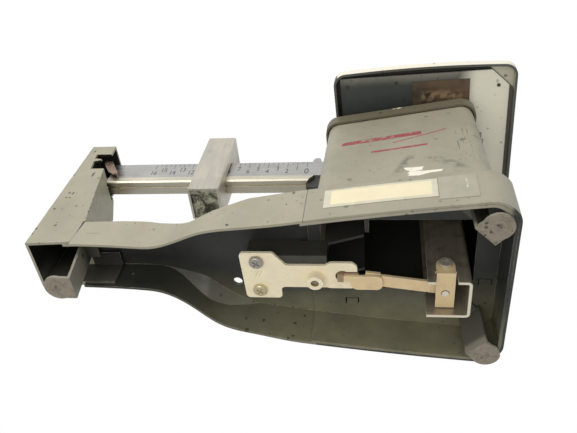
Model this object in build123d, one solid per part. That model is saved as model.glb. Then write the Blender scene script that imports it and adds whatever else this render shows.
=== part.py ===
from build123d import *
import os

os.makedirs("parts", exist_ok=True)

# ---------------------------------------------------------------- driving dimensions, mm
# Built with the left end of the end post at x = 0, then moved so the origin is under the middle.
OZ = 6.35                 # beam pitch, one ounce per quarter inch
BASE_LEN = 257.0          # post's left face to the base's right end
NECK_W = 15.9             # half width of the neck and the post
SHEET = 1.5               # painted sheet steel of base and post
COVER = 1.25              # sheet steel of the tower cover
DECK_Z = 29.0             # top of the wide part of the base
NECK_Z = 38.0             # top of the neck
POST_Z = 122.6            # top of the end post
SEAM_X = 158.0            # where the tower's apron laps over the base
TOWER_X0, TOWER_X1 = 161.5, 248.5
TOWER_Z = 120.0
BEAM_X0, BEAM_X1 = 15.6, 152.5
WEB_X1 = 163.5            # the graduated web runs on through the tower wall
BEAM_Z0, BEAM_Z1 = 95.0, 117.0
ZERO_X = 146.8            # where the poise's right edge stands at zero ounces
POISE_X1 = ZERO_X - 8 * OZ  # poise's right edge at rest, eight ounces
FULCRUM = (173.7, 105.0)  # x, z of the beam's knife edge
ARM = 52.4                # fulcrum to load knife
STEM_Y = 8.0              # the stem stands a little toward the rear
LINK_Z = 12.5             # height of the check link
CLIP_Z = 15.4             # height of the screw that holds the stem clip
PAN_X, PAN_HX, PAN_HY = 221.25, 54.9, 58.2   # platform: middle and half sizes
PAN_TOP = 138.6
PAN_YAW = -1.8            # the platform sits a little askew on its stem
MID_X = 138.85            # half of the whole length
LOAD_X = FULCRUM[0] + ARM

# half width of the base's bottom outline at stations along x
OUTLINE = [(62, 15.9), (66, 15.95), (72, 16.5), (80, 18.9), (95, 27.1), (104, 32.1), (112, 34.8),
           (125, 37.1), (140, 39.6), (160, 42.7), (185, 46.1), (215, 49.6), (243, 52.3)]

# the beam's end plate, (x, z)
TIP = [(9.6, 113.4), (10.4, 115.2), (14.6, 115.2), (22.6, 101.6), (22.4, 100.6), (19.4, 100.2),
       (16.0, 102.5), (12.0, 108.6)]

# height where the sloped shoulder between neck and pan meets the side wall, with the half width there
SHOULDER = [(64, 38.6, 15.9), (72.8, 35.6, 16.7), (79.8, 32.4, 18.8), (87.8, 26.8, 23.1),
            (95.5, 22.6, 27.4), (101.5, 22.2, 30.7), (107.2, 23.0, 33.2), (112.5, 24.3, 34.9),
            (117.5, 25.8, 35.8), (122.5, 27.5, 36.7), (128, 29.1, 37.6), (131, 29.9, 38.0)]


def box(x0, x1, y0, y1, z0, z1):
    return Pos((x0 + x1) / 2, (y0 + y1) / 2, (z0 + z1) / 2) * Box(x1 - x0, y1 - y0, z1 - z0)


def prism_y(pts, y0, y1):
    """Closed polygon of (x, z) points extruded from y0 to y1."""
    face = make_face(Polyline(*[(x, 0, z) for x, z in pts], close=True))
    return Pos(0, y0, 0) * extrude(face, amount=y1 - y0, dir=(0, 1, 0))


def prism_z(pts, z0, z1, r=0.0):
    """Closed polygon of (x, y) points extruded from z0 to z1, its corners rounded to r."""
    face = make_face(Polyline(*[(x, y, 0) for x, y in pts], close=True))
    if r:
        face = fillet(face.vertices(), r)
    return Pos(0, 0, z0) * extrude(face, amount=z1 - z0, dir=(0, 0, 1))


def prism_x(pts, x0, x1):
    """Closed polygon of (y, z) points extruded from x0 to x1."""
    face = make_face(Polyline(*[(0, y, z) for y, z in pts], close=True))
    return Pos(x0, 0, 0) * extrude(face, amount=x1 - x0, dir=(1, 0, 0))


def rod(axis, r, a, b, u, v):
    """Cylinder along an axis from a to b; u, v are the other two coordinates in xyz order."""
    c, h = (a + b) / 2, b - a
    if axis == "x":
        return Pos(c, u, v) * Rot(0, 90, 0) * Cylinder(r, h)
    if axis == "y":
        return Pos(u, c, v) * Rot(90, 0, 0) * Cylinder(r, h)
    return Pos(u, v, c) * Cylinder(r, h)


def plan(x0, inset, z0, z1):
    """The base's plan outline from x0 to the right end, inset all round, as a solid."""
    pts = [(x, -(w - inset)) for x, w in OUTLINE]
    end = BASE_LEN - inset
    side = Spline(*pts)
    knee = Spline(pts[-1], (end - 3.2, -(47.8 - inset * 0.8)), (end, -40), tangents=[(1, -0.09), (0, 1)])
    top = [Line((x0, -(NECK_W - inset)), pts[0]), side, knee]
    back = [e.mirror(Plane.XZ) for e in top]
    ends = [Line((end, -40), (end, 40)), Line((x0, -(NECK_W - inset)), (x0, NECK_W - inset))]
    face = make_face(Curve() + top + back + ends)
    return Pos(0, 0, z0) * extrude(face, amount=z1 - z0, dir=(0, 0, 1))


def profile(x0, x1, drop, bottom_cut):
    """Side profile of the base between x0 and x1: top line lowered by drop, bottom line optional."""
    top = Spline((x0, 0, NECK_Z - drop), (70, 0, NECK_Z - drop - 0.8), (88, 0, 33.2 - drop),
                 (108, 0, DECK_Z - drop + 0.5), (122, 0, DECK_Z - drop), tangents=[(1, 0, 0), (1, 0, 0)])
    run = Line((122, 0, DECK_Z - drop), (x1, 0, DECK_Z - drop))
    if bottom_cut:
        low = [Line((x1, 0, -5), (x0, 0, -5))]
        zr, zl = -5, -5
    else:
        zr, zl = 3.0, 18.0
        low = [Line((x1, 0, 3.0), (150, 0, 3.0)),
               Spline((150, 0, 3.0), (127, 0, 4.6), (104, 0, 7.4), (88, 0, 12.0), (72, 0, 15.0),
                      (50, 0, 17.0), (x0, 0, 18.0), tangents=[(-1, 0, 0), (-1, 0, 0.03)])]
    ends = [Line((x1, 0, DECK_Z - drop), (x1, 0, zr)), Line((x0, 0, zl), (x0, 0, NECK_Z - drop))]
    face = make_face(Curve() + [top, run] + low + ends)
    return Pos(0, -70, 0) * extrude(face, amount=140, dir=(0, 1, 0))


def shoulder(drop):
    """Space above the slopes that ease the neck into the pan, front and rear."""
    pts = [(x, 0, z + w - 45 - drop) for x, z, w in SHOULDER]
    a, b = pts[0], pts[-1]
    rest = [Line(b, (b[0], 0, 70)), Line((b[0], 0, 70), (a[0], 0, 70)), Line((a[0], 0, 70), a)]
    front = Pos(0, -45, 0) * extrude(make_face(Curve() + [Spline(*pts)] + rest), amount=62, dir=(0, 1, 1))
    return front, mirror(front, about=Plane.XZ)


nodes = {}

# ---------------------------------------------------------------- base pan
outer = plan(25.8, 0, 0, 45) & profile(25.8, 260, 0, False)
inner = plan(25.0, SHEET, -6, 45) & profile(25.0, 261, SHEET, True)
for slope in shoulder(0):
    outer = outer - slope
for slope in shoulder(SHEET * 1.414):
    inner = inner - slope
lap_top = DECK_Z - COVER - 0.15
lapped = plan(25.8, COVER + 0.15, 3.0, lap_top) & box(SEAM_X - 0.2, 300, -80, 80, -10, 60)
lapped = lapped - plan(25.0, COVER + 0.15 + SHEET, -6, lap_top - SHEET)
pan = (outer - inner) & box(0, SEAM_X - 1.7, -80, 80, -10, 60)
step = outer & box(SEAM_X - 1.7, SEAM_X - 0.2, -80, 80, -10, 60)
step = step - plan(25.0, COVER + 0.15 + SHEET, -6, lap_top - SHEET)
pan = pan + step + lapped
pan = pan - box(163, 242, -25.5, 21.2, 20, 32)
pan = pan - prism_y([(0, 0), (25.75, 0), (25.75, 20), (27.55, NECK_Z), (27.55, 50), (0, 50)], -20, 20)
pan = pan + box(185.8, 188.0, -25.6, -17.5, lap_top - SHEET, lap_top)
pan = pan - rod("z", 2.6, 20, 40, 113.6, 18.6)                       # through hole
for x, y in ((176, -27.2), (182, -27.2)):
    pan = pan - box(x - 1.8, x + 1.8, y - 0.6, y + 0.6, 20, 32)
for x, y in ((177.8, 29.0), (248.4, 14.0)):                          # three-sided lanced slits
    pan = pan - box(x - 3.8, x + 3.8, y - 0.4, y + 0.4, 20, 32)
    pan = pan - box(x - 3.8, x - 3.0, y, y + 4.5, 20, 32) - box(x + 3.0, x + 3.8, y, y + 4.5, 20, 32)
pan = pan - rod("y", 0.7, 10, 20, 52, 28)
nodes["base_pan"] = pan

# ---------------------------------------------------------------- tower cover with its apron
skin = plan(60, 0, 3.0, DECK_Z) & box(SEAM_X, 300, -80, 80, 0, 60)
skin = skin - plan(60, COVER, -6, DECK_Z - COVER)


def tower(inset, z0, z1, grow=0.0):
    """Tapered tower between two heights; the long sides lean in, the ends stay upright."""
    def ring(z):
        t = (z - DECK_Z) / (TOWER_Z - DECK_Z)
        yl, yr = 42.2 - 13.2 * t - inset + grow, 52.0 - 10.6 * t - inset + grow
        xl, xr = TOWER_X0 + inset - grow, TOWER_X1 - inset + grow
        f = make_face(Polyline((xl, -yl, z), (xr, -yr, z), (xr, yr, z), (xl, yl, z), close=True))
        return fillet(f.vertices(), 7.5 - inset + grow)
    return loft([ring(z0), ring(z1)])


shell = tower(0, DECK_Z - 0.5, TOWER_Z)
cover = skin + shell - tower(COVER, DECK_Z - 3, TOWER_Z + 2)
cover = cover - box(150, 170, -8.5, 7.5, 84.5, 121)                  # slot the beam passes through
nodes["tower_cover"] = cover

# ---------------------------------------------------------------- end post
wall = SHEET
side = [(0, 18.3), (25.6, 20.0), (27.4, NECK_Z), (17.7, 94.6), (16.2, POST_Z), (0, POST_Z)]
hollow = [(wall, 10), (25.6 - wall, 10), (27.4 - wall, NECK_Z), (17.7 - wall, 94.6),
          (16.2 - wall, POST_Z - wall), (wall, POST_Z - wall)]
post = prism_y(side, -NECK_W, NECK_W) - prism_y(hollow, -NECK_W + wall, NECK_W - wall)
post = post - box(22, 30, -NECK_W + wall, NECK_W - wall, 10, NECK_Z - 1.7)   # open toward the neck
post = post - prism_y([(8.6, 94.9), (30, 94.9), (30, 112.4), (6.4, 112.4)], -NECK_W - 1, -NECK_W + 2)
post = post - box(10, 30, -NECK_W + wall, NECK_W - wall, 94.6, POST_Z - wall)
post = post - box(10, 30, -NECK_W + 2, NECK_W + 1, 94.6, 119)
post = post - box(10, 30, -6.6, 6.6, 91.0, 96)
post = post - prism_x([(9, 94.7), (17, 94.7), (17, 81)], 15, 30)
sleeve = box(21, 44, -NECK_W + wall + 0.1, NECK_W - wall - 0.1, 19.5, NECK_Z - wall - 0.2)
sleeve = sleeve - box(20, 45, -NECK_W + 2 * wall, NECK_W - 2 * wall, 15, NECK_Z - 2 * wall - 0.25)
sleeve = sleeve - box(20, 45, -4, 4, NECK_Z - 4, NECK_Z)
post = post + sleeve
post = post + prism_y([(6.5, 103.6), (12.0, 105.4), (12.0, 106.6), (7.2, 107.4)], -NECK_W, -NECK_W + 1.2)
nodes["end_post"] = post


# ---------------------------------------------------------------- feet: pad, strap, top tab
def foot(radius, reach, lean, height):
    """Pad centred on the origin, strap rising on the +x side and a tab at the top."""
    t, half = 1.6, radius * 0.94
    pad = Pos(0, 0, t / 2) * Cylinder(radius, t) - Pos(0, 0, -0.55) * Sphere(1.9)
    pad = pad + box(0, reach + 0.8, -half, half, 0, t)
    strap = prism_y([(reach, 0), (reach + t, 0), (reach + t + lean, height), (reach + lean, height)], -half, half)
    tab = box(reach + lean, reach + 8 + lean, -half + 1.5, half - 1.5, height - t, height)
    return pad + strap + tab


nodes["foot_left"] = Pos(22.3, 0, 0) * foot(7.7, 7.4, -5.2, NECK_Z - 3.45)
under = DECK_Z - COVER - 0.15 - SHEET - 0.05
for name, x, y, turn in (("foot_front", 246.4, -40.6, 135), ("foot_rear", 247.8, 43.8, 225)):
    nodes[name] = Pos(x, y, 0) * Rot(0, 0, turn) * foot(7.3, 6.2, 1.2, under)

# ---------------------------------------------------------------- fulcrum stand and its bearings
fx, fz = FULCRUM
stand = box(124.5, 166.6, -12.2, 12.2, LINK_Z + 1.0, LINK_Z + 2.6)
for s in (-1, 1):
    y0, y1 = sorted((s * 10.6, s * 12.2))
    stand = stand + prism_y([(124.5, 13.5), (166.6, 13.5), (166.6, 24), (185, 31), (182.9, fz + 4),
                             (164.8, fz + 4), (164.8, 25.95), (124.5, 25.95)], y0, y1)
    stand = stand - prism_y([(fx - 5.6, fz + 9), (fx, fz - 0.1), (fx + 5.6, fz + 9)], y0 - 1, y1 + 1)
    y0, y1 = sorted((s * 4, s * 12.2))
    stand = stand + box(128, 152, y0, y1, 25.95, 27.45)
stand = stand - rod("z", 1.6, 10, 20, 130.2, -9.6) - rod("z", 1.6, 10, 20, 130.2, 9.6)
nodes["fulcrum_stand"] = stand


def v_block(x, z, y0, y1, up):
    """Hardened bearing with a V groove along y; the knife edge rests at (x, z)."""
    s = 1 if up else -1
    body = prism_y([(x - 4.6, z - s * 4.0), (x + 4.6, z - s * 4.0), (x + 4.6, z + s * 2.2),
                    (x - 4.6, z + s * 2.2)], y0, y1)
    return body - prism_y([(x, z - s * 0.06), (x + 4.2, z + s * 2.6), (x - 4.2, z + s * 2.6)],
                          y0 - 1, y1 + 1)


fb = v_block(fx, fz, 7.4, 10.6, True) + v_block(fx, fz, -10.6, -7.4, True)
nodes["fulcrum_bearings"] = fb

# ---------------------------------------------------------------- anchor bracket of the check link
lobe = prism_z([(121.4, -15.2), (139, -15.2), (145.4, -6.9), (149, -6.9), (149, 7.9), (141.6, 7.9),
                (141.6, 15.8), (122.2, 15.8)], LINK_Z - 0.7, LINK_Z + 0.9, 2.3)
arm = box(146, 168.5, -6.9, 7.9, LINK_Z - 0.7, LINK_Z + 0.9)
head = prism_z([(165, -6.9), (168.6, -8.7), (179.6, -8.7), (182, -6.4), (182, 5.9), (179.6, 8.4),
                (168.6, 8.4), (165, 7.9)], LINK_Z - 0.7, LINK_Z + 0.9, 2.2)
slot = rod("z", 3.6, 5, 20, fx + 0.6, 0) + box(fx + 0.6, 190, -3.0, 3.0, 5, 20)
bracket = lobe + arm + head - slot - rod("z", 2.75, 5, 20, 160.4, 0.6)
for y in (-9.6, 9.6):
    bracket = bracket - rod("z", 1.6, 5, 20, 130.2, y)
nodes["anchor_bracket"] = bracket


def pan_screw(x, y, z_seat, length, head_r=3.8, head_h=2.2, r=1.5):
    """Screw driven upward: head hangs below z_seat, shank above it, crossed recess in the head."""
    s = rod("z", head_r, z_seat - head_h, z_seat, x, y) + rod("z", r, z_seat - 0.5, z_seat + length, x, y)
    s = fillet(s.edges().filter_by(GeomType.CIRCLE).group_by(Axis.Z)[0], head_h * 0.6)
    for a in (35, 125):
        s = s - Pos(x, y, z_seat - head_h) * Rot(0, 0, a) * Box(head_r * 1.1, 0.7, 1.6)
    return s


nodes["anchor_screws"] = (pan_screw(130.2, -9.6, LINK_Z - 0.7, 6) + pan_screw(130.2, 9.6, LINK_Z - 0.7, 6))
bx, by = 160.4, 0.6
bush = rod("z", 4.3, LINK_Z - 6.0, LINK_Z - 0.7, bx, by) + rod("z", 2.72, LINK_Z - 1, LINK_Z + 0.9, bx, by)
nodes["adjust_bushing"] = bush - rod("z", 2.05, 0, 30, bx, by)
nodes["set_screw"] = (rod("z", 2.0, LINK_Z - 4.0, LINK_Z + 0.95, bx, by)
                      - Pos(bx, by, LINK_Z - 4.0) * Box(4.4, 0.7, 1.6))

# ---------------------------------------------------------------- check link, fork to stem
yaw = 8.7
along = Pos(LOAD_X, STEM_Y, LINK_Z) * Rot(0, 0, yaw)
link = along * (box(-41.0, 2.6, -3.5, 3.5, -0.8, 0.8) + box(-41.0, -33.5, -4.6, 4.6, -0.8, 0.8))
link = link - along * box(-8.5, -7.9, -5, 5, -1.0, -0.5)
tab = box(fx + 4.6, fx + 21, -1.6, 7.4, LINK_Z - 2.7, LINK_Z - 1.2)
tab = fillet(tab.edges().filter_by(Axis.Z).group_by(Axis.X)[0], 4.2)
tab = fillet(tab.edges().filter_by(Axis.Z).group_by(Axis.X)[-1], 3.0)
link = link + tab + box(fx + 11, fx + 17, -1.0, 4.6, LINK_Z - 1.3, LINK_Z - 0.7)
link = link + box(fx + 1.3, fx + 7, -1.5, 2.0, LINK_Z - 2.7, LINK_Z - 1.2)
nodes["check_link"] = link - rod("z", 1.82, 5, 20, LOAD_X, STEM_Y)
kp = box(fx - 1.9, fx + 1.2, -2.2, 2.2, LINK_Z - 2.7, LINK_Z + 1.4)
kp = kp + box(fx + 1.2, fx + 9.0, -2.2, 2.2, LINK_Z - 1.15, LINK_Z - 0.1)
nodes["link_knife"] = kp
pin = rod("z", 1.8, 8.2, LINK_Z + 2.2, LOAD_X, STEM_Y)
nodes["link_pin"] = pin + rod("z", 2.8, LINK_Z + 0.85, LINK_Z + 2.2, LOAD_X, STEM_Y)


def knife(x, z, y0, y1, up, h=6.0, half=2.2):
    """Knife edge along y; the edge is at (x, z), pointing down, or up when up is true."""
    s = -1 if up else 1
    return prism_y([(x, z), (x + half, z + s * h * 0.62), (x + half, z + s * h),
                    (x - half, z + s * h), (x - half, z + s * h * 0.62)], y0, y1)


# ---------------------------------------------------------------- beam and the pieces fixed to it
section = [(-4.5, BEAM_Z1), (-4.5, 101.2), (-5.2, 100.2), (-5.2, 96.0), (-4.4, BEAM_Z0),
           (-2.1, BEAM_Z0), (-1.8, 96.0), (-0.9, 96.0), (-0.6, BEAM_Z0), (4.5, BEAM_Z0),
           (4.5, 101.0), (3.0, 101.0), (3.0, 96.8), (-2.7, 96.8), (-2.7, BEAM_Z1)]
beam = prism_x(section, BEAM_X0, BEAM_X1)
beam = beam - prism_y([(BEAM_X1 - 4.8, 94), (BEAM_X1 + 1, 94), (BEAM_X1 + 1, 102)], -6, 6)   # lip cut off askew
beam = beam - box(BEAM_X1 - 5.3, BEAM_X1 + 1, -2.72, 6, 94, 101.1)    # room for the lever's foot
beam = beam + box(BEAM_X1 - 1, WEB_X1, -4.5, -2.7, 101.2, BEAM_Z1)   # web alone, through the tower's slot
beam = beam - box(158.8, WEB_X1 + 1, -5, -2, 115.5, BEAM_Z1 + 1)      # clear of the cap's lip
beam = beam - rod("z", 1.12, 90, 99, 24.2, 1.2)
nodes["beam"] = beam
tip = prism_y(TIP, -8.8, -7.8) - rod("y", 1.1, -10, 0, 13.0, 110.9)
tip = tip + prism_y([(21.2, 101.6), (22.6, 101.6), (18.4, 108.8), (17.2, 108.4)], -8.0, -4.56)
nodes["beam_tip"] = tip
nodes["stop_pin"] = rod("z", 1.1, 92.6, 96.7, 24.2, 1.2)
lug = prism_y([(150.2, 117.04), (150.2, 119.0), (151.2, 121.2), (153.0, 121.9), (154.6, 121.2),
               (155.4, 119.0), (155.4, 117.04)], -4.4, -2.8)
nodes["poise_stop"] = lug
lever = prism_y([(132, 98), (147.4, 98), (147.8, 91), (159, 89.2), (166, 98.5), (166, 112),
                 (156, 116), (132, 116)], -2.65, 2.2)
lever = lever + prism_y([(160, 96), (166, 98.5), (LOAD_X - 9, 99.0), (LOAD_X - 4, 101.5), (LOAD_X + 4, 101.5),
                         (LOAD_X + 4, 104.5), (LOAD_X - 3, 108.0), (fx - 4, 112), (160, 112)], -1.9, 2.2)
lever = lever - rod("y", 2.6, -4, 4, 198, 104)
nodes["beam_lever"] = lever
rivs = None
for x in (137, 147):
    r1 = rod("y", 1.4, 2.2, 3.4, x, 107) + rod("y", 2.4, 2.2, 3.2, x, 107)
    rivs = r1 if rivs is None else rivs + r1
nodes["beam_rivets"] = rivs
k1 = knife(fx, fz, 2.25, 10.4, False) + knife(fx, fz, -10.4, -1.95, False)
nodes["fulcrum_knife"] = k1
k2 = knife(LOAD_X, fz, 2.25, STEM_Y + 12.8, True, 3.6, 1.8) + knife(LOAD_X, fz, -5.2, -1.95, True, 3.6, 1.8)
nodes["load_knife"] = k2

# ---------------------------------------------------------------- poise
px0, px1 = POISE_X1 - 19.8, POISE_X1
front, back, foot_z, top_z = -11.0, 12.5, 77.8, 141.0
body = prism_x([(front, foot_z), (back, foot_z), (back, 106), (back - 5.5, top_z), (front + 1.2, top_z),
                (front, top_z - 1.6)], px0, px1)
face = make_face(Polyline((px0, 0, foot_z), (px1, 0, foot_z), (px1, 0, top_z), (px0, 0, top_z), close=True))
face = fillet(face.vertices().group_by(Axis.Z)[-1], 4.2)
body = body & (Pos(0, front - 1, 0) * extrude(face, amount=back - front + 2, dir=(0, 1, 0)))
body = body & prism_z([(px0, front), (px1, front), (px1, back), (px0, back)], foot_z - 1, top_z + 1, 1.6)
gap = 0.06
body = body - box(px0 - 1, px1 + 1, -5.2 - gap, 4.5 + gap, BEAM_Z0 - gap, BEAM_Z1 + gap)
cavity = box(px0 + 1.4, px1 - 1.4, front + 1.4, back - 1.4, foot_z - 1, BEAM_Z0 - 3.2)
body = body - cavity
body = body - box(px1 - 1.6, px1 + 1, -4.6, -3.9, 84, BEAM_Z0 + 1)
body = body - rod("x", 1.25, px1 - 5, px1 + 1, 8.4, 116.5)
nodes["poise_shell"] = body
nodes["poise_lead"] = box(px0 + 1.5, px1 - 1.5, front + 1.5, back - 1.5, foot_z + 0.6, BEAM_Z0 - 3.3)
ps = rod("x", 1.2, px1 - 4.6, px1 + 0.2, 8.4, 116.5) + rod("x", 1.9, px1 + 0.05, px1 + 1.1, 8.4, 116.5)
nodes["poise_screw"] = ps - Pos(px1 + 1.1, 8.4, 116.5) * Box(0.9, 0.6, 4.4)

# ---------------------------------------------------------------- stem, clip and load bearings
sx0, sx1 = 216.8, 238.4
sy0, sy1 = STEM_Y - 12, STEM_Y + 12
st = 1.5
stem = box(sx0, sx1, sy0, sy1, 3.6, 126.0)
stem = fillet(stem.edges().filter_by(Axis.Z).group_by(Axis.X)[-1], 2.4)
bore = box(sx0 - 1, sx1 - st, sy0 + st, sy1 - st, 0, 130)
stem = stem - fillet(bore.edges().filter_by(Axis.Z).group_by(Axis.X)[-1], 0.9)
stem = stem - box(LOAD_X - 5.4, LOAD_X + 5.4, sy0 - 1, sy0 + st + 0.2, 0, 11.6)
stem = stem - rod("y", 1.27, sy0 - 1, sy0 + 3, LOAD_X, CLIP_Z)
stem = stem - box(sx0 - 1, sx1 - 3, sy0 - 1, sy1 + 1, fz - 7.0, fz + 4.05)
nodes["stem"] = stem
lb = v_block(LOAD_X, fz, sy1 - st - 0.9, sy1 + 0.9, False)
lb = lb + v_block(LOAD_X, fz, sy0 - 0.9, sy0 + st, False)
nodes["load_bearings"] = lb
cx0, cx1 = LOAD_X - 4.7, LOAD_X + 4.7
clip = box(cx0, cx1, sy0 - 1.3, sy0 - 0.1, 8.6, CLIP_Z) + rod("y", 4.7, sy0 - 1.3, sy0 - 0.1, LOAD_X, CLIP_Z)
clip = clip + box(cx0, cx1, sy0 - 1.3, sy1 - 2.2, 8.6, 9.8)
clip = clip - rod("z", 2.1, 5, 12, LOAD_X, STEM_Y) - rod("y", 1.3, -8, -2, LOAD_X, CLIP_Z)
nodes["stem_clip"] = clip
cs = rod("y", 3.3, sy0 - 3.3, sy0 - 1.35, LOAD_X, CLIP_Z) + rod("y", 1.25, sy0 - 2, sy0 + 3.6, LOAD_X, CLIP_Z)
for a in (20, 110):
    cs = cs - Pos(LOAD_X, sy0 - 3.3, CLIP_Z) * Rot(0, a, 0) * Box(3.8, 1.4, 0.6)
nodes["clip_screw"] = cs

# ---------------------------------------------------------------- cap, spider, pan
cap_z0, cap_z1 = TOWER_Z - 2.2, 126.0
cap_ring = loft([fillet(make_face(Polyline((TOWER_X0 - 1.9, -31.2, z), (TOWER_X1 + 1.9, -43.6, z),
                                           (TOWER_X1 + 1.9, 43.6, z), (TOWER_X0 - 1.9, 31.2, z),
                                           close=True)).vertices(), 9.2) for z in (cap_z0, cap_z1)])
cap_void = loft([fillet(make_face(Polyline((TOWER_X0 - 0.7, -29.9, z), (TOWER_X1 + 0.7, -42.3, z),
                                           (TOWER_X1 + 0.7, 42.3, z), (TOWER_X0 - 0.7, 29.9, z),
                                           close=True)).vertices(), 8.0)
                 for z in (cap_z0 - 2, cap_z1 - 1.2)])
cap = cap_ring - cap_void
cap = fillet(cap.edges().group_by(Axis.Z)[-1], 1.0)
cap = cap - box(sx0 - 0.4, sx1 + 0.4, sy0 - 0.4, sy1 + 0.4, 120, 130)
nodes["tower_cap"] = cap
spider = box(186, 257, -13, 17, 134.0, 135.5)
for x0, x1 in ((186, 198), (245, 257)):
    spider = spider + box(x0, x1, -13, 17, 126.05, 127.4)
for x0 in (196.6, 245.0):
    spider = spider + box(x0, x0 + 1.4, -13, 17, 126.05, 135.5)
spider = spider + box(197, 246, sy0 - 2, sy1 - 3.1, 126.05, 127.4)
nodes["spider"] = spider


def askew(shape):
    """Turn a piece of the platform a little about its own middle."""
    return Pos(PAN_X, 0, 0) * Rot(0, 0, PAN_YAW) * Pos(-PAN_X, 0, 0) * shape


def bowed_plan(inset, r, z0, z1):
    """The platform's plan, front and rear sides bowed outward, corners rounded."""
    hx, hy, bow = PAN_HX - inset, PAN_HY - inset, 2.0
    f = make_face(Curve() + [ThreePointArc((-hx, -hy), (0, -hy - bow), (hx, -hy)), Line((hx, -hy), (hx, hy)),
                             ThreePointArc((hx, hy), (0, hy + bow), (-hx, hy)), Line((-hx, hy), (-hx, -hy))])
    return Pos(PAN_X, 0, z0) * extrude(fillet(f.vertices(), r), amount=z1 - z0)


pan_t = 1.2
tray = bowed_plan(0, 8, PAN_TOP - 6.4, PAN_TOP)
tray = fillet(tray.edges().group_by(Axis.Z)[-1], 1.6)
tray = tray - bowed_plan(1.5, 6.5, PAN_TOP - 8, PAN_TOP - pan_t)
nodes["platform_pan"] = askew(tray)
hx, hy, cut = PAN_HX - 3.9, PAN_HY - 4.0, 10.5
plate = prism_z([(-hx, -hy), (hx - cut, -hy), (hx, cut - hy), (hx, hy - cut), (hx - cut, hy),
                 (cut - hx, hy), (-hx, hy - cut)], 135.6, 136.7)
plate = Pos(PAN_X, 0, 0) * plate
RIVETS = [(174.8, -48.5), (204.8, -49.5), (174.8, 48.5), (204.8, 49.5), (266, -44), (266, 44)]
riv = None
for x, y in RIVETS:
    r1 = rod("z", 1.05, 135.1, 135.58, x, y) + rod("z", 0.6, 135.1, 137.3, x, y)
    riv = r1 if riv is None else riv + r1
    plate = plate - rod("z", 0.65, 130, 140, x, y)
nodes["platform_plate"] = askew(plate)
nodes["plate_rivets"] = askew(riv)
nodes["tape_patch"] = askew(box(214.5, 249.0, -49.5, -17, 135.28, 135.58))

# ---------------------------------------------------------------- blank label and clear tape on the apron
def on_apron(x0, x1, z0, z1, t):
    """Thin sheet lying on the curved front of the apron."""
    skin2 = plan(60, -t - 0.06, z0, z1) - plan(60, -0.06, z0 - 1, z1 + 1)
    return skin2 & box(x0, x1, -80, -20, z0, z1)


nodes["label"] = on_apron(167.0, 220.5, 11.0, 25.5, 0.25)
nodes["label_tape"] = on_apron(220.8, 238.5, 8.5, 26.5, 0.2)

# ---------------------------------------------------------------- move to the shared frame and write
for name, solid in nodes.items():
    part = Pos(-MID_X, 0, 0) * solid
    solids = part.solids()
    shape = solids[0] if len(solids) == 1 else Compound(children=list(solids))
    export_step(shape, f"parts/{name}.step")
    bb = shape.bounding_box()
    print(f"{name:18s} {len(solids)} vol {sum(s.volume for s in solids):9.1f}  "
          f"{bb.min.X:7.1f} {bb.min.Y:7.1f} {bb.min.Z:7.1f}  {bb.max.X:7.1f} {bb.max.Y:7.1f} {bb.max.Z:7.1f}")
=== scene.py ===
"""Looks of the beam postal scale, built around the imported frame.

Units are metres, in the frame's own axes.
"""
import math
import random

import bpy
from mathutils import Matrix, Vector


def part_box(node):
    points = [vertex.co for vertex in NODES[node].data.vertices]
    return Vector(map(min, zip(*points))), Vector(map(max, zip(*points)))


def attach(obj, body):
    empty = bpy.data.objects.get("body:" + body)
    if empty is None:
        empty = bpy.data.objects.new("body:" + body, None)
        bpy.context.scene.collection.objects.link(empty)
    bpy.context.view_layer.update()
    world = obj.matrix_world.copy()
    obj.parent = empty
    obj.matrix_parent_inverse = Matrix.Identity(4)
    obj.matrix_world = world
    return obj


MM = 0.001
BORE = (0.02155, 0.0006)   # middle of the adjusting screw's bushing
FEET = ((-0.11655, 0.0), (0.10755, -0.0406), (0.10895, 0.0438))   # middles of the three pads
PAN_X = 0.0824            # middle of the platform
PAN_TURN = 0.0314         # radians the platform stands askew
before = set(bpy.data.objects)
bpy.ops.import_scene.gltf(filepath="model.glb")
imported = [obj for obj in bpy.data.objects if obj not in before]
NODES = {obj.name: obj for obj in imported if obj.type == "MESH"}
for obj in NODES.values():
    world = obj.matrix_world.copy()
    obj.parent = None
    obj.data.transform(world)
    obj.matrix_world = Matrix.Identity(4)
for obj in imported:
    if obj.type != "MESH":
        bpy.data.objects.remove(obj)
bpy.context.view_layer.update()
random.seed(11)


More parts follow.
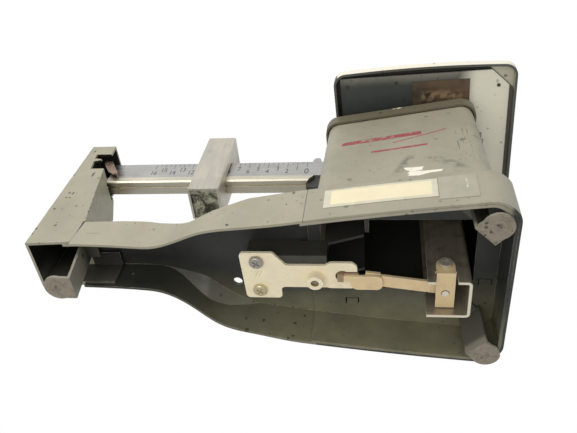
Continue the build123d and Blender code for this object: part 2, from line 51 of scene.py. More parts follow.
# ------------------------------------------------------------------ node graph helpers
class Graph:
    """A material being wired: every method adds a node and returns its output."""

    def __init__(self, name):
        self.mat = bpy.data.materials.new(name)
        self.mat.use_nodes = True
        self.nt = self.mat.node_tree
        self.bsdf = self.nt.nodes["Principled BSDF"]
        self.obj = self.add("ShaderNodeTexCoord").outputs["Object"]
        self._axes = None

    def add(self, kind, **props):
        node = self.nt.nodes.new(kind)
        for key, value in props.items():
            setattr(node, key, value)
        return node

    def put(self, socket, value):
        if isinstance(value, bpy.types.NodeSocket):
            self.nt.links.new(value, socket)
        elif hasattr(socket.default_value, "__len__") and not hasattr(value, "__len__"):
            socket.default_value = [value] * len(socket.default_value)
        elif hasattr(value, "__len__") and len(value) == 3 and len(socket.default_value) == 4:
            socket.default_value = (*value, 1)
        else:
            socket.default_value = value

    def math(self, op, a, b=0.0, clamp=False):
        node = self.add("ShaderNodeMath", operation=op, use_clamp=clamp)
        self.put(node.inputs[0], a)
        self.put(node.inputs[1], b)
        return node.outputs[0]

    def axes(self):
        if self._axes is None:
            node = self.add("ShaderNodeSeparateXYZ")
            self.put(node.inputs[0], self.obj)
            self._axes = node.outputs
        return self._axes

    def normal(self):
        node = self.add("ShaderNodeSeparateXYZ")
        self.put(node.inputs[0], self.add("ShaderNodeTexCoord").outputs["Normal"])
        return node.outputs

    def stretch(self, scale, offset=(0, 0, 0), turn=(0, 0, 0)):
        node = self.add("ShaderNodeMapping")
        self.put(node.inputs["Vector"], self.obj)
        node.inputs["Scale"].default_value = scale
        node.inputs["Location"].default_value = offset
        node.inputs["Rotation"].default_value = turn
        return node.outputs[0]

    def noise(self, scale, detail=3.0, rough=0.55, vec=None, warp=0.0):
        node = self.add("ShaderNodeTexNoise")
        self.put(node.inputs["Vector"], vec if vec is not None else self.obj)
        node.inputs["Scale"].default_value = scale
        node.inputs["Detail"].default_value = detail
        node.inputs["Roughness"].default_value = rough
        node.inputs["Distortion"].default_value = warp
        return node.outputs["Fac"]

    def flecks(self, scale, size, share, stretch=None, warp=0.35):
        """Scattered ragged spots: a share of the cells of a grid hold one, each with its own size."""
        vec = self.stretch(*stretch) if stretch else self.obj
        wobble = self.add("ShaderNodeTexNoise")
        self.put(wobble.inputs["Vector"], vec)
        wobble.inputs["Scale"].default_value = scale * 2.2
        add = self.add("ShaderNodeVectorMath", operation="MULTIPLY_ADD")
        self.put(add.inputs[0], wobble.outputs["Color"])
        add.inputs[1].default_value = (warp / scale,) * 3
        self.put(add.inputs[2], vec)
        node = self.add("ShaderNodeTexVoronoi", feature="F1")
        self.put(node.inputs["Vector"], add.outputs[0])
        node.inputs["Scale"].default_value = scale
        pick = self.add("ShaderNodeSeparateColor")
        self.put(pick.inputs[0], node.outputs["Color"])
        chosen = self.step(pick.outputs[0], 1 - share, 1.0, 0.0, size)
        radius = self.mul(chosen, self.math("ADD", pick.outputs[1], 0.35))
        return self.step(self.math("SUBTRACT", radius, node.outputs["Distance"]), 0.0, 0.05)

    def step(self, value, low, high, out_low=0.0, out_high=1.0):
        node = self.add("ShaderNodeMapRange", interpolation_type="SMOOTHSTEP")
        self.put(node.inputs["Value"], value)
        for key, number in zip(("From Min", "From Max", "To Min", "To Max"), (low, high, out_low, out_high)):
            node.inputs[key].default_value = number
        return node.outputs["Result"]

    def band(self, value, low, high, soft):
        return self.math("MULTIPLY", self.step(value, low - soft, low + soft),
                         self.step(value, high - soft, high + soft, 1.0, 0.0))

    def mul(self, *values):
        out = values[0]
        for value in values[1:]:
            out = self.math("MULTIPLY", out, value)
        return out

    def most(self, *values):
        out = values[0]
        for value in values[1:]:
            out = self.math("MAXIMUM", out, value)
        return out

    def away(self, cx, cy):
        """Distance in plan from the point cx, cy."""
        x, y, z = self.axes()
        dx, dy = self.math("SUBTRACT", x, cx), self.math("SUBTRACT", y, cy)
        return self.math("SQRT", self.math("ADD", self.mul(dx, dx), self.mul(dy, dy)))

    def mix(self, fac, a, b):
        node = self.add("ShaderNodeMix", data_type="RGBA")
        self.put(node.inputs["Factor"], fac)
        self.put(node.inputs[6], a)
        self.put(node.inputs[7], b)
        return node.outputs[2]

    def tint(self, colour, fac, low, high):
        """colour scaled between low and high by fac."""
        scale = self.step(fac, 0.25, 0.75, low, high)
        node = self.add("ShaderNodeVectorMath", operation="SCALE")
        self.put(node.inputs[0], colour)
        self.put(node.inputs["Scale"], scale)
        return node.outputs[0]

    def edges(self, radius):
        """1 on sharp edges, 0 on flats, from how far a rounded normal leaves the flat one."""
        round_ = self.add("ShaderNodeBevel", samples=4)
        round_.inputs["Radius"].default_value = radius
        flat = self.add("ShaderNodeNewGeometry").outputs["Normal"]
        dot = self.add("ShaderNodeVectorMath", operation="DOT_PRODUCT")
        self.put(dot.inputs[0], round_.outputs[0])
        self.put(dot.inputs[1], flat)
        return self.step(dot.outputs["Value"], 0.98, 0.86)

    def bump(self, height, strength, depth, edge=0.0):
        node = self.add("ShaderNodeBump")
        self.put(node.inputs["Height"], height)
        node.inputs["Strength"].default_value = strength
        node.inputs["Distance"].default_value = depth
        if edge:
            round_ = self.add("ShaderNodeBevel", samples=4)
            round_.inputs["Radius"].default_value = edge
            self.put(node.inputs["Normal"], round_.outputs[0])
        self.put(self.bsdf.inputs["Normal"], node.outputs[0])

    def done(self, colour, rough, metal=0.0, coat=0.0):
        self.put(self.bsdf.inputs["Base Color"], colour)
        self.put(self.bsdf.inputs["Roughness"], rough)
        self.put(self.bsdf.inputs["Metallic"], metal)
        self.bsdf.inputs["Coat Weight"].default_value = coat
        return self.mat


# ------------------------------------------------------------------ materials
def paint(name, base, chip=(0.035, 0.032, 0.027), wear=0.5, specks=1.0, extra=None, rub=0.55):
    """Aged enamel: cloudy colour, specks, hairline scratches, edges rubbed through, and a patchy painted
    highlight on sharp edges.
    """
    g = Graph(name)
    colour = g.tint(base, g.noise(26, 4), 0.90, 1.08)
    colour = g.mix(g.step(g.noise(95, 5, 0.65), 0.52, 0.72, 0.0, 0.28), colour,
                   tuple(c * k for c, k in zip(base, (0.72, 0.70, 0.62))))
    if extra:
        colour = extra(g, colour)
    fine = g.mul(g.flecks(400, 0.36, 0.34), g.step(g.noise(38, 3), 0.44, 0.58))
    chips = g.flecks(120, 0.20, 0.26, None, 0.5)
    dashes = g.flecks(95, 0.15, 0.26, ((1, 1, 0.30), (0.2, 0.1, 0.3), (0.4, 0.9, 0.3)), 0.15)
    hair = g.step(g.noise(30, 2, 0.5, g.stretch((1, 1, 30), (0.3, 0.1, 0.7), (0.5, 0.75, 0.2))), 0.715, 0.735)
    hair = g.mul(hair, g.step(g.noise(24, 2), 0.52, 0.62))
    ragged = g.noise(260, 5, 0.7)
    rim = g.mul(g.edges(0.9 * MM), g.step(ragged, 0.62 - 0.16 * wear, 0.66 - 0.16 * wear),
                g.step(g.noise(34, 2), 0.40, 0.60))
    # painted highlight: sharp edges lightened in patches, as strong as rub
    bright = g.mul(g.edges(0.45 * MM), g.step(g.noise(120, 3, 0.6), 0.36, 0.56))
    marks = g.most(g.mul(fine, 0.75 * specks), g.mul(chips, 0.9 * specks),
                   g.mul(dashes, 0.8 * specks), g.mul(hair, 0.35))
    colour = g.mix(g.mul(bright, rub), colour, tuple(min(1, c * 1.45) for c in base))
    colour = g.mix(marks, colour, chip)
    colour = g.mix(g.mul(rim, 0.85 * wear), colour, (0.085, 0.074, 0.056))
    rough = g.step(g.noise(170, 4), 0.3, 0.7, 0.36, 0.52)
    height = g.math("SUBTRACT", g.mul(g.noise(1900, 2), 0.5), g.mul(marks, 1.4))
    g.bump(height, 0.22, 0.12 * MM, 0.30 * MM)
    return g.done(colour, rough, g.mul(rim, 0.6))


def metal(name, base, rough=0.34, along="x", streak=0.25, stain=None, stain_amount=0.5, spots=0.0,
          edge=0.18, metallic=1.0, extra=None, cut=None):
    """Bare or plated metal: drawn streaks along one axis, stains and small spots."""
    g = Graph(name)
    scale = {"x": (1, 30, 30), "y": (30, 1, 30), "z": (30, 30, 1), None: (3, 3, 3)}[along]
    lines = g.noise(38, 4, 0.65, g.stretch(scale))
    colour = g.tint(base, lines, 1 - streak, 1 + 0.35 * streak)
    if stain:
        mask = g.step(g.noise(105, 5, 0.66), 0.50, 0.70, 0.0, stain_amount)
        colour = g.mix(mask, colour, stain)
    if spots:
        dots = g.mul(g.step(g.noise(820, 1.5), 0.70, 0.76), g.step(g.noise(90, 3), 0.46, 0.62))
        colour = g.mix(g.mul(dots, spots), colour, (0.05, 0.04, 0.03))
    if extra:
        colour = extra(g, colour)
    if cut:
        low = g.step(g.axes()[2], 0.030, 0.026)
        colour = g.mix(g.mul(g.edges(0.6 * MM), low, 0.85), colour, cut)
    shine = g.math("ADD", g.step(lines, 0.3, 0.7, rough - 0.06, rough + 0.09),
                   g.step(g.noise(70, 3), 0.4, 0.75, 0.0, 0.14))
    g.bump(g.math("ADD", g.mul(lines, 0.6), g.mul(g.noise(900, 2), 0.4)), 0.12, 0.08 * MM, edge * MM)
    return g.done(colour, shine, metallic)


PAINT = (0.372, 0.346, 0.256)
# painted shade for the inside of the base: near black, olive toward the rear wall
INSIDE_SHADE_DARK = (0.034, 0.036, 0.031)
INSIDE_SHADE_OLIVE = (0.215, 0.202, 0.128)
# painted shade and light for the end post's hollow
POST_DARK = (0.010, 0.010, 0.008)
POST_LIT = (0.100, 0.098, 0.076)
WORN_RED = (0.320, 0.040, 0.052)


def under_side(g):
    """1 where a face looking down belongs to the inside: all but the lower rim along the front."""
    x, y, z = g.axes()
    return g.most(g.step(z, 0.0200, 0.0210), g.step(y, 0.0, 0.010), g.step(x, 0.1120, 0.1145))


def walls_inner(g):
    """1 on the inner faces of the front and rear walls."""
    return g.step(g.math("MULTIPLY", g.normal()[1], g.math("SIGN", g.axes()[1])), -0.25, -0.5)


def hollow_faces(g, level, steep):
    """1 on faces that look into the hollow: down, toward the middle, or away from the right end."""
    nx, ny, nz = g.normal()
    return g.most(g.mul(g.step(nz, level, steep), under_side(g)), walls_inner(g),
                  g.mul(g.step(nx, -0.5, -0.8), g.step(g.axes()[0], 0.09, 0.10)))


def pan_inside(g, colour):
    """The inside of the base, greyer paint under painted shade: near black, browner toward the rear wall,
    dimmer toward the left end, flecked with dust.
    """
    x, y, z = g.axes()
    # painted shade: near black inside, browner toward the rear wall, dimmer toward the left end
    inside = g.mix(g.step(y, 0.006, 0.046), INSIDE_SHADE_DARK, INSIDE_SHADE_OLIVE)
    shade_toward_left = g.add("ShaderNodeVectorMath", operation="SCALE")
    g.put(shade_toward_left.inputs[0], inside)
    g.put(shade_toward_left.inputs["Scale"], g.step(x, -0.075, 0.02, 0.62, 1.0))
    inside = g.tint(shade_toward_left.outputs[0], g.noise(42, 5, 0.6), 0.78, 1.20)
    dust = g.step(g.noise(430, 3, 0.7), 0.60, 0.74, 0.0, 0.30)
    inside = g.mix(dust, inside, (0.045, 0.043, 0.036))
    return g.mix(hollow_faces(g, -0.3, -0.5), colour, inside)


def post_inside(g, colour):
    """Painted shade in the end post's hollow and its sleeve inside the neck: near black, lighter toward the
    rear wall's foot.
    """
    x, y, z = g.axes()
    nx, ny, nz = g.normal()
    left = g.mul(g.step(nx, 0.5, 0.8), g.step(x, -0.1365, -0.1372))
    sleeve = g.mul(g.step(x, -0.1128, -0.1122), g.step(z, 0.0392, 0.0382))
    ceiling = g.mul(g.step(nz, -0.6, -0.8), g.step(z, 0.095, 0.100))
    inward = g.most(ceiling, walls_inner(g), left, sleeve)
    shade = g.mix(g.mul(g.step(z, 0.045, 0.016), g.step(y, 0.0, 0.014)), POST_DARK, POST_LIT)
    return g.mix(inward, colour, shade)


def cover_inside(g, colour):
    """Painted shade on the inside of the tower cover: near black."""
    return g.mix(hollow_faces(g, -0.6, -0.8), colour, (0.040, 0.041, 0.033))


def front_wear(g, colour):
    """Marks on the front of the tower: three rubbed red bars, scuffs, a glue patch, long scratches."""
    colour = cover_inside(g, colour)
    x, y, z = g.axes()
    nx, ny, nz = g.normal()
    front = g.mul(g.step(ny, -0.80, -0.92), g.step(y, -0.020, -0.026))
    tilt = g.math("SUBTRACT", z, g.mul(x, 0.06))
    worn = g.step(g.noise(240, 5, 0.75), 0.36, 0.50)
    sweep = g.math("SUBTRACT", z, g.mul(x, 0.34))
    bars = g.most(g.mul(g.band(x, 0.0330, 0.0775, 0.0002), g.band(tilt, 0.0800, 0.0850, 0.0002)),
                  g.mul(g.band(x, 0.0616, 0.0913, 0.0002), g.band(sweep, 0.0561, 0.0572, 0.0002)),
                  g.mul(g.band(x, 0.0500, 0.0800, 0.0002), g.band(tilt, 0.0640, 0.0664, 0.0002)))
    colour = g.mix(g.mul(bars, front, worn, 0.90), colour, WORN_RED)
    lean = g.math("SUBTRACT", x, g.mul(z, 0.40))
    back = g.math("ADD", x, g.mul(z, 0.70))
    zone = g.most(g.mul(g.band(lean, 0.0455, 0.0505, 0.0016), g.band(z, 0.036, 0.057, 0.003)),
                  g.mul(g.band(back, 0.1165, 0.1235, 0.0020), g.band(z, 0.037, 0.052, 0.003)))
    scuff = g.mul(zone, front, g.step(g.noise(130, 6, 0.8, None, 0.6), 0.45, 0.49))
    colour = g.mix(g.mul(scuff, 0.80), colour, (0.165, 0.155, 0.120))
    sleek = g.step(g.noise(40, 3, 0.6, g.stretch((26, 1, 1.4), (0.1, 0.2, 0.9))), 0.60, 0.64)
    sleek = g.mul(sleek, front, g.band(x, 0.093, 0.105, 0.003), g.band(z, 0.045, 0.085, 0.005))
    colour = g.mix(g.mul(sleek, 0.75), colour, (0.12, 0.110, 0.085))
    glue = g.mul(front, g.band(x, 0.060, 0.090, 0.001), g.band(z, 0.030, 0.046, 0.001))
    return g.mix(g.mul(glue, 0.14), colour, (0.50, 0.47, 0.36))


def cap_shine(g, colour):
    """A spot on the cap's front lip rubbed down to bright metal."""
    x, y, z = g.axes()
    spot = g.mul(g.band(x, 0.0625, 0.0675, 0.0012), g.step(y, -0.034, -0.036), g.step(z, 0.1235, 0.1248))
    spot = g.mul(spot, g.step(g.noise(500, 3), 0.40, 0.55))
    return g.mix(spot, colour, (0.92, 0.86, 0.66))


def foot_dirt(g, colour):
    """The feet: grimy brown pads with a dimple's ring, darker just above the right pads, and painted shade
    darkening the straps upward inside the base.
    """
    x, y, z = g.axes()
    nx, ny, nz = g.normal()
    low = g.mul(g.step(z, 0.0020, 0.0002), g.step(nz, -0.5, -0.8))
    rub = g.mul(low, g.step(g.noise(260, 5, 0.75, None, 0.8), 0.46, 0.60))
    colour = g.mix(g.mul(low, 0.6), colour, (0.285, 0.235, 0.170))
    colour = g.mix(g.mul(rub, 0.50), colour, (0.130, 0.100, 0.068))
    left, front, rear = (g.away(*foot) for foot in FEET)
    near = g.math("MINIMUM", g.math("MINIMUM", left, front), rear)
    colour = g.mix(g.mul(low, g.band(near, 0.0028, 0.0034, 0.0003), 0.22), colour, (0.40, 0.36, 0.28))
    colour = g.mix(g.mul(low, g.band(near, 0.0064, 0.0071, 0.0004), 0.20), colour, (0.42, 0.38, 0.29))
    right = g.mul(g.step(x, 0.0, 0.01), g.step(z, 0.0022, 0.0060))
    colour = g.mix(g.mul(right, 0.80), colour, (0.085, 0.084, 0.068))
    # painted shade: the straps darken upward inside the base
    return g.mix(g.mul(g.step(z, 0.020, 0.031), 0.85), colour, (0.045, 0.044, 0.036))


def pan_axes(g):
    """Distances from the platform's middle along its own two sides."""
    x, y, z = g.axes()
    dx, cos, sin = g.math("SUBTRACT", x, PAN_X), math.cos(PAN_TURN), math.sin(PAN_TURN)
    across = g.math("SUBTRACT", g.mul(dx, cos), g.mul(y, sin))
    return across, g.math("ADD", g.mul(dx, sin), g.mul(y, cos))


def plate_shade(g, colour):
    """The pan's underside: a painted soft shadow, dark blue-grey over the left, going pale toward the lit
    right, and a paler band along the front lip.
    """
    across, deep = pan_axes(g)
    shift = g.math("ADD", across, g.mul(g.noise(40, 4), 0.006))
    pale = g.step(shift, 0.0215, 0.0365)
    lip = g.mul(g.step(g.math("ADD", deep, g.mul(g.noise(55, 3), 0.004)), -0.0450, -0.0540), 0.26)
    return g.mix(g.most(pale, lip), colour, (0.90, 0.86, 0.70))


def pan_shade(g, colour):
    """The pan: a cream painted highlight along its front lip; painted shade, near black where the sheet turns
    over inside and dark on the rim's lower face; mid-grey on the right inner wall, pale at the cut corner.
    """
    x, y, z = g.axes()
    nx, ny, nz = g.normal()
    across, deep = pan_axes(g)
    px, py = g.math("ABSOLUTE", across), g.math("ABSOLUTE", deep)
    bow = g.math("SUBTRACT", py, g.math("SUBTRACT", 0.0020, g.mul(px, px, 0.66)))
    within = g.mul(g.step(px, 0.0537, 0.0533), g.step(bow, 0.0570, 0.0566), g.step(z, 0.1381, 0.1377))
    edge = g.mul(g.step(nz, -0.5, -0.8), g.step(z, 0.1330, 0.1326))
    colour = g.mix(edge, colour, (0.100, 0.100, 0.086))
    within = g.mul(within, g.step(z, 0.1324, 0.1328))
    colour = g.mix(within, colour, (0.014, 0.014, 0.013))
    colour = g.mix(g.mul(within, g.step(across, 0.0500, 0.0512)), colour, (0.150, 0.143, 0.115))
    corner = g.mul(within, g.step(g.math("ADD", px, py), 0.0945, 0.0955), g.step(across, 0.0, 0.01))
    colour = g.mix(corner, colour, (0.62, 0.59, 0.47))
    return g.mix(g.mul(g.step(ny, -0.4, -0.7), g.step(z, 0.1320, 0.1325), g.step(deep, -0.0560, -0.0570)),
                 colour, (0.88, 0.84, 0.70))


def lip_polish(g, colour):
    """The beam's lip carries a bright cream painted highlight; its underside is tinted a yellowish grey."""
    x, y, z = g.axes()
    nx, ny, nz = g.normal()
    # painted highlight on the lip's front face
    lip = g.mul(g.step(z, 0.1016, 0.1010), g.step(ny, -0.5, -0.8))
    lip_highlight_colour = g.tint((0.80, 0.745, 0.60), g.noise(60, 3, 0.5, g.stretch((1, 8, 8))), 0.90, 1.06)
    colour = g.mix(lip, colour, lip_highlight_colour)
    under = g.mul(g.step(nz, -0.5, -0.8), g.step(z, 0.099, 0.098))
    return g.mix(under, colour, (0.62, 0.58, 0.47))


def stem_rim(g, colour):
    """The stem's sawn lower edges are bright."""
    x, y, z = g.axes()
    nx, ny, nz = g.normal()
    return g.mix(g.mul(g.step(nz, -0.5, -0.8), g.step(z, 0.014, 0.013), 0.9), colour, (1.0, 0.93, 0.74))


def poise_dark(g, colour):
    """Painted shade on the poise's right side, patchy, darkest toward the back where it meets the beam."""
    x, y, z = g.axes()
    nx, ny, nz = g.normal()
    side = g.mul(g.step(nx, 0.5, 0.8), g.step(y, -0.010, 0.004))
    return g.mix(g.mul(side, g.step(g.noise(90, 4, 0.65), 0.40, 0.66), 0.45), colour, (0.26, 0.25, 0.20))


def bracket_marks(g, colour):
    """Two short pencil-thin scratches on the anchor plate, and a bare brass bore in the bushing."""
    x, y, z = g.axes()
    slant = g.math("SUBTRACT", x, g.mul(y, -0.45))
    lines = g.most(g.band(slant, -0.0100, -0.0098, 0.0001), g.band(slant, -0.0082, -0.0080, 0.0001))
    lines = g.mul(lines, g.band(y, -0.0035, 0.0010, 0.0006), g.step(x, -0.004, -0.005))
    colour = g.mix(g.mul(lines, 0.65), colour, (0.20, 0.17, 0.12))
    bore = g.mul(g.step(g.away(*BORE), 0.00225, 0.00215), g.step(z, 0.0126, 0.0120))
    return g.mix(bore, colour, (0.36, 0.26, 0.12))


def screw_tone(g, colour):
    """The front anchor screw is greyer, the rear one yellower."""
    x, y, z = g.axes()
    return g.mix(g.step(y, -0.002, 0.002), (0.46, 0.43, 0.38), (0.66, 0.58, 0.36))


def label_face():
    g = Graph("label_paper")
    x, y, z = g.axes()
    paper = g.tint((0.84, 0.745, 0.50), g.noise(120, 4), 0.96, 1.03)
    fibre = g.step(g.noise(900, 3, 0.7), 0.62, 0.78, 0.0, 0.10)
    paper = g.mix(fibre, paper, (0.66, 0.58, 0.38))
    inside = g.mul(g.band(x, 0.0315, 0.0790, 0.00015), g.band(z, 0.0130, 0.0241, 0.00015))
    colour = g.mix(inside, g.tint((0.63, 0.60, 0.46), g.noise(200, 4), 0.92, 1.06), paper)
    g.bump(g.noise(700, 3), 0.10, 0.05 * MM)
    return g.done(colour, 0.30, 0.0, 0.35)


def tape_face():
    g = Graph("clear_tape")
    x, y, z = g.axes()
    streak = g.mul(g.band(x, 0.0945, 0.0952, 0.0002), g.band(z, 0.016, 0.023, 0.001),
                   g.step(g.noise(300, 4), 0.42, 0.5))
    colour = g.mix(streak, g.tint((0.385, 0.362, 0.270), g.noise(150, 4), 0.93, 1.07), (0.66, 0.64, 0.52))
    g.bump(g.noise(260, 4), 0.25, 0.08 * MM)
    return g.done(colour, g.step(g.noise(200, 3), 0.3, 0.7, 0.16, 0.34), 0.0, 0.5)


def lead_face():
    g = Graph("cast_lead")
    blot = g.step(g.noise(165, 6, 0.72, None, 0.5), 0.40, 0.62)
    colour = g.mix(blot, (0.040, 0.040, 0.028), (0.52, 0.51, 0.38))
    colour = g.mix(g.step(g.noise(700, 3, 0.7), 0.60, 0.72, 0.0, 0.7), colour, (0.02, 0.02, 0.015))
    g.bump(g.math("ADD", blot, g.mul(g.noise(600, 4), 0.6)), 0.55, 0.5 * MM)
    return g.done(colour, 0.62, 0.35)


def brown_patch():
    g = Graph("brown_paper")
    x, y, z = g.axes()
    cloud = g.step(g.noise(38, 4, 0.6, None, 0.4), 0.38, 0.66)
    colour = g.mix(cloud, (0.040, 0.031, 0.024), (0.150, 0.096, 0.056))
    # painted highlight: a band of light reflected off the patch
    patch_highlight = g.mul(g.band(y, -0.0425, -0.0365, 0.0025), g.band(x, 0.079, 0.104, 0.005))
    colour = g.mix(g.mul(patch_highlight, g.step(g.noise(200, 4), 0.40, 0.60), 0.6), colour, (0.52, 0.36, 0.20))
    g.bump(g.noise(300, 4, 0.6, None, 0.5), 0.5, 0.2 * MM)
    return g.done(colour, g.step(g.noise(120, 3), 0.3, 0.7, 0.30, 0.55), 0.0, 0.25)


def ink():
    g = Graph("engraved_ink")
    colour = g.tint((0.055, 0.054, 0.052), g.noise(400, 4), 0.6, 2.2)
    return g.done(colour, 0.55)


MATS = {
    "base_pan": paint("paint_base", PAINT, extra=pan_inside),
    "tower_cover": paint("paint_cover", tuple(c * 0.93 for c in PAINT), extra=front_wear, specks=0.5),
    "end_post": paint("paint_post", tuple(c * 0.98 for c in PAINT), wear=0.9, extra=post_inside),
    "foot": paint("paint_foot", (0.270, 0.252, 0.196), wear=0.8, extra=foot_dirt),
    "tower_cap": paint("paint_cap", (0.140, 0.121, 0.078), extra=cap_shine, wear=0.7),
    "platform_pan": paint("enamel_pan", (0.165, 0.168, 0.150), wear=0.4, extra=pan_shade),
    # the plate's dark base colour is painted shadow; plate_shade pales it toward the right
    "platform_plate": paint("plate_painted_shadow", (0.056, 0.062, 0.058), specks=0.5, wear=0.2,
                            extra=plate_shade),
    "beam": metal("bare_beam", (0.60, 0.59, 0.565), 0.32, "x", 0.14, (0.42, 0.40, 0.36), 0.30, 0.4,
                  extra=lip_polish),
    "poise_shell": metal("bare_poise", (0.70, 0.66, 0.56), 0.38, "z", 0.12, (0.50, 0.47, 0.38), 0.40, 0.5,
                         extra=poise_dark),
    "poise_lead": lead_face(),
    "zinc": metal("zinc_plate", (1.0, 0.88, 0.62), 0.42, None, 0.08, (0.60, 0.47, 0.27), 0.25, 0.9,
                  metallic=0.0, cut=(1.0, 0.95, 0.80), extra=bracket_marks),
    "link": metal("zinc_link", (0.84, 0.64, 0.36), 0.42, None, 0.08, (0.52, 0.40, 0.22), 0.30, 0.8,
                  metallic=0.1, cut=(1.0, 0.92, 0.72)),
    "steel": metal("brown_steel", (0.400, 0.350, 0.265), 0.34, "z", 0.12, (0.150, 0.118, 0.082), 0.55, 0.6,
                   metallic=0.6, cut=(0.85, 0.78, 0.60), extra=stem_rim),
    "stand": metal("stand_steel", (0.075, 0.074, 0.062), 0.40, "x", 0.10, (0.060, 0.050, 0.038), 0.5, 0.5,
                   metallic=0.4),
    "hard": metal("ground_steel", (0.42, 0.41, 0.40), 0.28, "y", 0.25, (0.16, 0.12, 0.09), 0.4, 0.5),
    "brass": metal("brown_brass", (0.46, 0.33, 0.21), 0.42, "z", 0.2, (0.16, 0.10, 0.06), 0.5, 0.6,
                   metallic=0.3),
    "copper": metal("copper_strip", (0.54, 0.40, 0.32), 0.40, "z", 0.25, (0.20, 0.13, 0.10), 0.6, 0.5,
                    metallic=0.7),
    "screw": metal("plated_screw", (0.62, 0.58, 0.48), 0.30, None, 0.15, (0.20, 0.17, 0.12), 0.45, 0.7,
                    metallic=0.5),
    "anchor_screw": metal("anchor_screw", (0.60, 0.57, 0.50), 0.26, None, 0.15, (0.20, 0.17, 0.12), 0.50, 0.7,
                          metallic=0.7, extra=screw_tone),
    # black paint; on the beam lever it stands in for the shade in the housing's slot beside the beam
    "black": paint("lever_black_as_shade", (0.042, 0.044, 0.042), (0.03, 0.03, 0.028), wear=0.0, rub=0.0),
    "label": label_face(), "label_tape": tape_face(), "tape_patch": brown_patch(),
}
USES = {
    "foot": ("foot_left", "foot_front", "foot_rear"),
    "zinc": ("anchor_bracket", "adjust_bushing"),
    "link": ("check_link", "stem_clip"),
    "steel": ("stem", "spider", "stop_pin", "link_pin"),
    "stand": ("fulcrum_stand", "plate_rivets"),
    "hard": ("fulcrum_bearings", "fulcrum_knife", "load_knife", "load_bearings"),
    "copper": ("beam_tip",),
    "brass": ("link_knife",),
    "screw": ("set_screw", "beam_rivets", "clip_screw"),
    "anchor_screw": ("anchor_screws",),
    "black": ("beam_lever", "poise_screw"),
    "beam": ("beam", "poise_stop"),
}
for key, material in MATS.items():
    for name in USES.get(key, (key,)):
        NODES[name].data.materials.clear()
        NODES[name].data.materials.append(material)


# ------------------------------------------------------------------ added pieces
def place(name, verts, faces, material, body):
    mesh = bpy.data.meshes.new(name)
    mesh.from_pydata([tuple(v) for v in verts], [], faces)
    mesh.materials.append(material)
    piece = bpy.data.objects.new(name, mesh)
    bpy.context.scene.collection.objects.link(piece)
    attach(piece, body)


OUNCE = 6.35 * MM
MIDDLE = 138.85                        # millimetres from the left end to the frame's origin
beam_lo, beam_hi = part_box("beam")
FACE_Y = beam_lo.y + 0.7 * MM          # the graduated face stands 0.7 mm behind the lip
ZERO = 146.8 * MM - MIDDLE * MM        # where the zero tick stands
PROUD = 0.03 * MM                      # how far the ink stands out of the face
LAST_OUNCE = 16
TICK_DROP = 0.7 * MM                   # from the beam's top edge down to the ticks
HALF_TICK, ODD_TICK, EVEN_TICK = 1.9 * MM, 3.4 * MM, 5.4 * MM
THIN, WIDE = 0.26 * MM, 0.30 * MM      # widths of half-ounce and ounce ticks
ZERO_SIZE, FIGURE_SIZE = 8.6 * MM, 6.6 * MM
ZERO_DROP, EVEN_DROP, ODD_DROP = 13.8, 12.7, 9.6   # millimetres from the top edge to a figure's foot
NARROW = 0.72                          # the figures are narrower than the font's


def graduations():
    """Ticks and figures filled with ink on the beam's front face, ounces 0 to 16, right to left."""
    verts, faces = [], []
    top = beam_hi.z

    def bar(x, drop, length, width):
        n = len(verts)
        y0, y1 = FACE_Y - PROUD, FACE_Y + PROUD
        for dx, dz in ((-1, drop), (1, drop), (1, drop + length), (-1, drop + length)):
            for y in (y0, y1):
                verts.append((x + dx * width / 2, y, top - dz))
        faces.extend([(n, n + 6, n + 4, n + 2), (n + 1, n + 3, n + 5, n + 7),
                      (n, n + 2, n + 3, n + 1), (n + 2, n + 4, n + 5, n + 3),
                      (n + 4, n + 6, n + 7, n + 5), (n + 6, n, n + 1, n + 7)])

    for half in range(2 * LAST_OUNCE + 1):
        x = ZERO - half * OUNCE / 2
        if half % 2:
            bar(x, TICK_DROP, HALF_TICK, THIN)
        else:
            bar(x, TICK_DROP, EVEN_TICK if half % 4 == 0 else ODD_TICK, WIDE)
    place("beam_ticks", verts, faces, INK, "beam")
    for ounce in range(LAST_OUNCE + 1):
        curve = bpy.data.curves.new(f"figure_{ounce}", "FONT")
        curve.body = str(ounce)
        curve.size = ZERO_SIZE if ounce == 0 else FIGURE_SIZE
        curve.align_x = "CENTER"
        curve.extrude = PROUD
        curve.space_character = 0.95
        curve.resolution_u = 4
        text = bpy.data.objects.new(f"figure_{ounce}", curve)
        bpy.context.scene.collection.objects.link(text)
        drop = ZERO_DROP if ounce == 0 else (EVEN_DROP if ounce % 2 == 0 else ODD_DROP)
        text.matrix_world = (Matrix.Translation((ZERO - ounce * OUNCE, FACE_Y, top - drop * MM))
                             @ Matrix.Rotation(math.radians(90), 4, "X")
                             @ Matrix.Diagonal((NARROW, 1, 1, 1)))
        bpy.context.view_layer.update()
        shaped = text.evaluated_get(bpy.context.evaluated_depsgraph_get())
        mesh = bpy.data.meshes.new_from_object(shaped)
        mesh.transform(text.matrix_world)
        mesh.materials.clear()
        mesh.materials.append(INK)
        bpy.data.objects.remove(text)
        figure = bpy.data.objects.new(f"beam_figure_{ounce}", mesh)
        bpy.context.scene.collection.objects.link(figure)
        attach(figure, "beam")


def front_plane(x, z):
    """y of the tower's leaning front wall at x, z, in millimetres."""
    along, up = (x - 22.65) / 87, (z - 29) / 91
    return -(42.2 + 9.8 * along - (13.2 - 2.6 * along) * up)


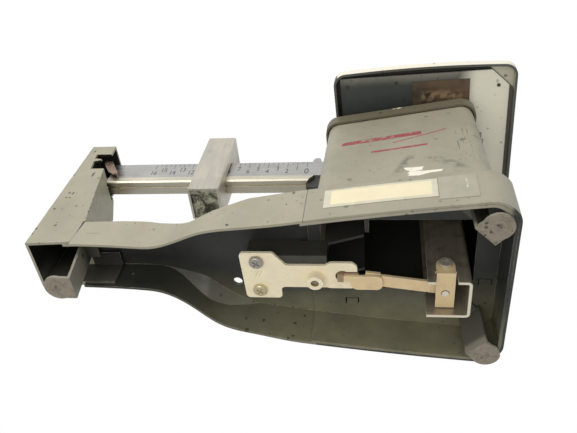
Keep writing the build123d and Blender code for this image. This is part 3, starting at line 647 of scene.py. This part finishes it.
def torn_sticker():
    """What is left of a paper sticker above the label, as an outline in x, z millimetres."""
    rim = [(66.5, 43.4), (71.0, 42.6), (76.8, 42.3), (75.6, 40.4), (76.0, 38.6), (72.0, 38.4), (76.2, 37.4),
           (85.6, 37.0), (84.6, 35.0), (79.0, 34.6), (73.8, 32.6), (68.4, 33.6), (69.4, 35.4), (68.2, 36.6),
           (69.6, 38.4), (67.6, 40.6)]
    verts = [(x * MM, (front_plane(x, z) - lift) * MM, z * MM)
             for lift in (0.04, 0.14) for x, z in rim]
    n = len(rim)
    faces = [tuple(range(n)), tuple(range(2 * n - 1, n - 1, -1))]
    faces += [(i, i + n, (i + 1) % n + n, (i + 1) % n) for i in range(n)]
    g = Graph("torn_paper")
    colour = g.tint((0.88, 0.84, 0.72), g.noise(220, 5, 0.7), 0.86, 1.06)
    place("torn_sticker", verts, faces, g.done(colour, 0.6), "frame")


INK = ink()
graduations()
torn_sticker()


# ------------------------------------------------------------------ stage, light, camera
WORLD_LOW, WORLD_HIGH = 0.52, 0.76     # light from behind and below, and from the front and above
CAMERA_AT = (0.05766, -0.21919, -0.23177)
LENS, SENSOR = 39.47, 36


def stage_floor():
    bpy.ops.mesh.primitive_plane_add(size=6, location=(0, 0, -0.0002))
    floor = bpy.context.object
    floor.name = "stage_floor"
    mat = bpy.data.materials.new("stage_floor")
    mat.use_nodes = True
    nt = mat.node_tree
    bsdf = nt.nodes["Principled BSDF"]
    bsdf.inputs["Base Color"].default_value = (0.80, 0.80, 0.79, 1)
    bsdf.inputs["Roughness"].default_value = 0.9
    clear = nt.nodes.new("ShaderNodeBsdfTransparent")
    mix = nt.nodes.new("ShaderNodeMixShader")
    back = nt.nodes.new("ShaderNodeNewGeometry")
    nt.links.new(back.outputs["Backfacing"], mix.inputs[0])
    nt.links.new(bsdf.outputs[0], mix.inputs[1])
    nt.links.new(clear.outputs[0], mix.inputs[2])
    nt.links.new(mix.outputs[0], nt.nodes["Material Output"].inputs["Surface"])
    floor.data.materials.append(mat)
    for ray in ("shadow", "diffuse", "glossy", "transmission"):
        setattr(floor, f"visible_{ray}", False)


def world_light():
    """White to the camera; a soft gradient, brighter from the front and above, to the object."""
    world = bpy.data.worlds.new("studio")
    bpy.context.scene.world = world
    world.use_nodes = True
    nt = world.node_tree
    nt.nodes.clear()
    out = nt.nodes.new("ShaderNodeOutputWorld")
    seen, lit = nt.nodes.new("ShaderNodeBackground"), nt.nodes.new("ShaderNodeBackground")
    seen.inputs[0].default_value = (1, 1, 1, 1)
    seen.inputs[1].default_value = 1.0
    lit.inputs[0].default_value = (0.98, 0.99, 1.0, 1)
    path, mix = nt.nodes.new("ShaderNodeLightPath"), nt.nodes.new("ShaderNodeMixShader")
    coord = nt.nodes.new("ShaderNodeTexCoord")
    dot = nt.nodes.new("ShaderNodeVectorMath")
    dot.operation = "DOT_PRODUCT"
    dot.inputs[1].default_value = (0.0, -0.62, 0.78)
    ramp = nt.nodes.new("ShaderNodeMapRange")
    ramp.inputs["From Min"].default_value, ramp.inputs["From Max"].default_value = -1.0, 1.0
    ramp.inputs["To Min"].default_value, ramp.inputs["To Max"].default_value = WORLD_LOW, WORLD_HIGH
    nt.links.new(coord.outputs["Generated"], dot.inputs[0])
    nt.links.new(dot.outputs["Value"], ramp.inputs["Value"])
    nt.links.new(ramp.outputs["Result"], lit.inputs[1])
    nt.links.new(path.outputs["Is Camera Ray"], mix.inputs[0])
    nt.links.new(lit.outputs[0], mix.inputs[1])
    nt.links.new(seen.outputs[0], mix.inputs[2])
    nt.links.new(mix.outputs[0], out.inputs[0])


def soft_light(name, where, size, power, colour=(1, 1, 1), aim=(0.02, 0, 0.06)):
    data = bpy.data.lights.new(name, "AREA")
    data.size, data.energy, data.color = size, power, colour
    lamp = bpy.data.objects.new(name, data)
    lamp.location = where
    lamp.rotation_mode = "QUATERNION"
    lamp.rotation_quaternion = (Vector(aim) - Vector(where)).to_track_quat("-Z", "Y")
    bpy.context.scene.collection.objects.link(lamp)


stage_floor()
world_light()
soft_light("key", (-0.45, -0.90, 0.12), 0.5, 4.2, (1.0, 0.985, 0.95))
soft_light("rim", (-0.45, 0.70, 0.55), 0.6, 3, (0.93, 0.96, 1.0))
soft_light("low", (-0.15, -0.45, -0.60), 0.5, 1.6, (1.0, 0.97, 0.92))

cam = bpy.data.objects.new("camera", bpy.data.cameras.new("camera"))
bpy.context.scene.collection.objects.link(cam)
cam.data.sensor_width = SENSOR
cam.data.lens = LENS
cam.data.clip_start, cam.data.clip_end = 0.01, 20
LOOK, UP = Vector((-0.15201, 0.58892, 0.79377)), Vector((0.00432, -0.80270, 0.59637))
LOOK.normalize()
RIGHT = LOOK.cross(UP).normalized()
UP = RIGHT.cross(LOOK)
turn = Matrix((RIGHT, UP, -LOOK)).transposed()
cam.matrix_world = Matrix.Translation(CAMERA_AT) @ turn.to_4x4()
bpy.context.scene.camera = cam
bpy.context.scene.view_settings.view_transform = "Standard"
